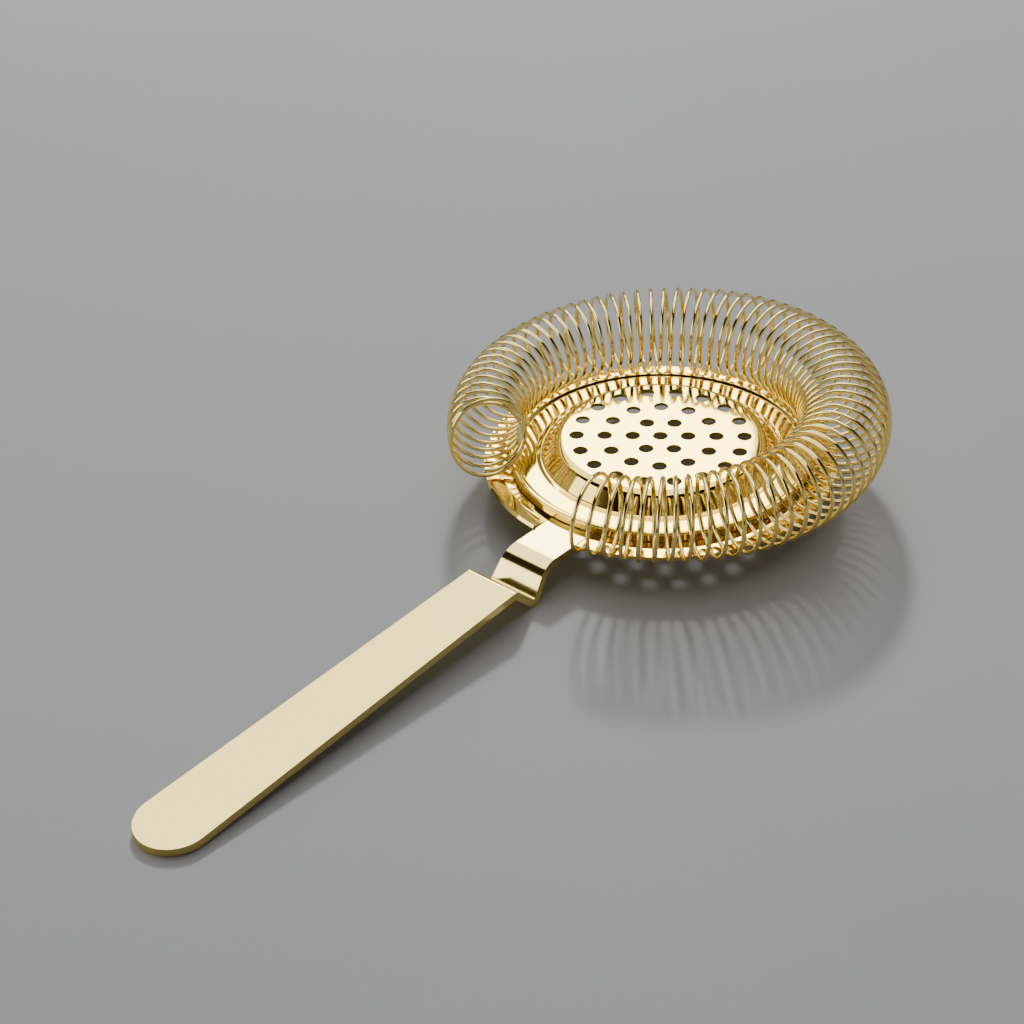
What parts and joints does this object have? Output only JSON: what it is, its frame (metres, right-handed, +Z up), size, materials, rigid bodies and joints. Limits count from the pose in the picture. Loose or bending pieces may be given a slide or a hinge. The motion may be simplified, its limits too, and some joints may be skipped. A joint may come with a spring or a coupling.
{
  "type": "hawthorne strainer",
  "caption": "Gold plated cocktail strainer: round perforated plate, fine coil spring seated round its rim, and a flat strap handle with a notched neck.",
  "frame": {"origin": "centre of the bounding box, at the level of the floor that the neck notch and the handle's end touch", "axes": "+Z up through the plate, -X along the handle to its round end, the plate lies flat"},
  "size_m": [0.215, 0.102, 0.0298],
  "materials": {
    "plate": "mirror polished gold plating on pressed steel",
    "handle": "mirror polished gold plating on a steel strap",
    "spring": "bright gold plating on spring wire"
  },
  "bodies": {
    "strainer": {"strainer_plate": "plate", "lip_ring": "plate", "handle": "handle"},
    "spring": {"coil_spring": "spring"}
  },
  "joints": [
    {"name": "spring_squeeze", "type": "slide", "parent": "strainer", "child": "spring", "axis": [-1, 0, 0], "range_m": [0, 0.004], "stiffness_N_per_m": 900, "deforming": ["coil_spring"]}
  ]
}
